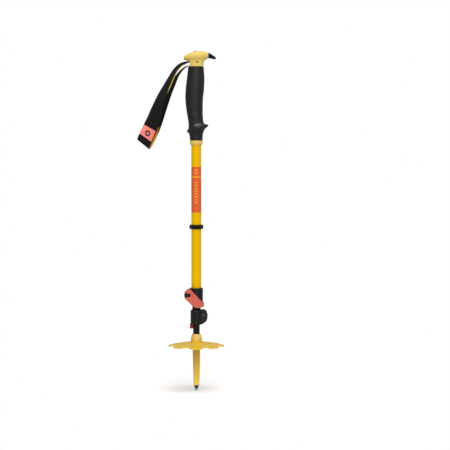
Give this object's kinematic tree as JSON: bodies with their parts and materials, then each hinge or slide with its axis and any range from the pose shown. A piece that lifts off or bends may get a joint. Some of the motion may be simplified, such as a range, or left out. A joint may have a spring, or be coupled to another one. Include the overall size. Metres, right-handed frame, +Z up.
{
  "type": "ski-touring pole",
  "caption": "Collapsible three-section ski-touring pole with lever locks, contoured grip, wrist strap, powder basket and steel tip.",
  "frame": {"origin": "on the pole's axis at the middle of the hand grip, 520 mm above the steel tip of the collapsed pole", "axes": "+Z up along the pole from tip to head, +X towards the beak of the head, -X towards the wrist strap, -Y towards the upper lock's lever"},
  "size_m": [0.1609, 0.102, 0.6203],
  "materials": {
    "pale_yellow": "satin moulded",
    "yellow_paint": "yellow painted tube",
    "black_paint": "black anodised tube",
    "black_rubber": "soft moulded",
    "black_plastic": "satin moulded",
    "coral": "satin moulded",
    "salmon": "soft printed patch",
    "webbing": "woven",
    "amber_plastic": "translucent moulded",
    "basket_plastic": "translucent moulded",
    "steel": "machined"
  },
  "bodies": {
    "upper_section": {"grip_head": "pale_yellow", "beak_tip": "black_rubber", "head_cap": "black_rubber", "strap_pin": "steel", "strap_wedge": "black_plastic", "grip_foam": "black_rubber", "grip_spine": "pale_yellow", "grip_core": "pale_yellow", "grip_collar": "pale_yellow", "upper_shaft": "yellow_paint", "top_plug": "black_plastic", "upper_liner": "black_plastic", "upper_clamp": "black_plastic", "upper_eye_bolt": "steel", "upper_wear_plate": "steel"},
    "strap": {"strap_front_band": "webbing", "strap_rear_band": "webbing", "strap_patch": "salmon"},
    "ring": {"keeper_ring": "black_rubber"},
    "upper_lever": {"upper_lever": "coral", "upper_lever_pin": "steel"},
    "upper_nut": {"upper_tension_nut": "steel"},
    "middle_guide": {"middle_guide": "black_plastic"},
    "middle_section": {"middle_shaft": "black_paint", "lower_liner": "black_plastic", "lower_clamp": "black_plastic", "lower_eye_bolt": "steel", "lower_wear_plate": "steel"},
    "lower_lever": {"lower_lever": "coral", "lower_lever_pin": "steel"},
    "lower_nut": {"lower_tension_nut": "steel"},
    "lower_guide": {"lower_guide": "black_plastic"},
    "lower_section": {"lower_shaft": "black_paint", "shaft_end_plug": "black_plastic", "tip_shroud": "amber_plastic", "tip_ferrule": "black_plastic", "carbide_tip": "steel"},
    "basket": {"powder_basket": "basket_plastic"}
  },
  "joints": [
    {"name": "middle_slide", "type": "slide", "parent": "upper_section", "child": "middle_guide", "axis": [0, 0, -1], "range_m": [0, 0.36]},
    {"name": "middle_twist", "type": "hinge", "parent": "middle_guide", "child": "middle_section", "pos_m": [0, 0, 0.048], "axis": [0, 0, 1], "continuous": true},
    {"name": "lower_slide", "type": "slide", "parent": "middle_section", "child": "lower_guide", "axis": [0, 0, -1], "range_m": [0, 0.36]},
    {"name": "lower_twist", "type": "hinge", "parent": "lower_guide", "child": "lower_section", "pos_m": [0, 0, 0.024], "axis": [0, 0, 1], "continuous": true},
    {"name": "upper_lever_swing", "type": "hinge", "parent": "upper_section", "child": "upper_lever", "pos_m": [-0.0169, -0.0105, -0.3452], "axis": [0, 0, -1], "range_deg": [0, 110]},
    {"name": "lower_lever_swing", "type": "hinge", "parent": "middle_section", "child": "lower_lever", "pos_m": [0.0156, 0.0105, -0.3831], "axis": [0, 0, -1], "range_deg": [0, 110]},
    {"name": "upper_nut_turn", "type": "hinge", "parent": "upper_section", "child": "upper_nut", "pos_m": [-0.014, 0.0064, -0.3452], "axis": [0, 1, 0], "continuous": true},
    {"name": "lower_nut_turn", "type": "hinge", "parent": "middle_section", "child": "lower_nut", "pos_m": [0.0127, -0.0064, -0.3831], "axis": [0, 1, 0], "continuous": true},
    {"name": "ring_slide", "type": "slide", "parent": "upper_section", "child": "ring", "axis": [0, 0, 1], "range_m": [-0.1, 0.14]},
    {"name": "strap_swing", "type": "hinge", "parent": "upper_section", "child": "strap", "pos_m": [-0.0155, 0, 0.082], "axis": [0, 1, 0], "range_deg": [0, 40]},
    {"name": "basket_turn", "type": "hinge", "parent": "lower_section", "child": "basket", "pos_m": [0, 0, -0.44], "axis": [0, 0, 1], "range_deg": [0, 90]}
  ]
}
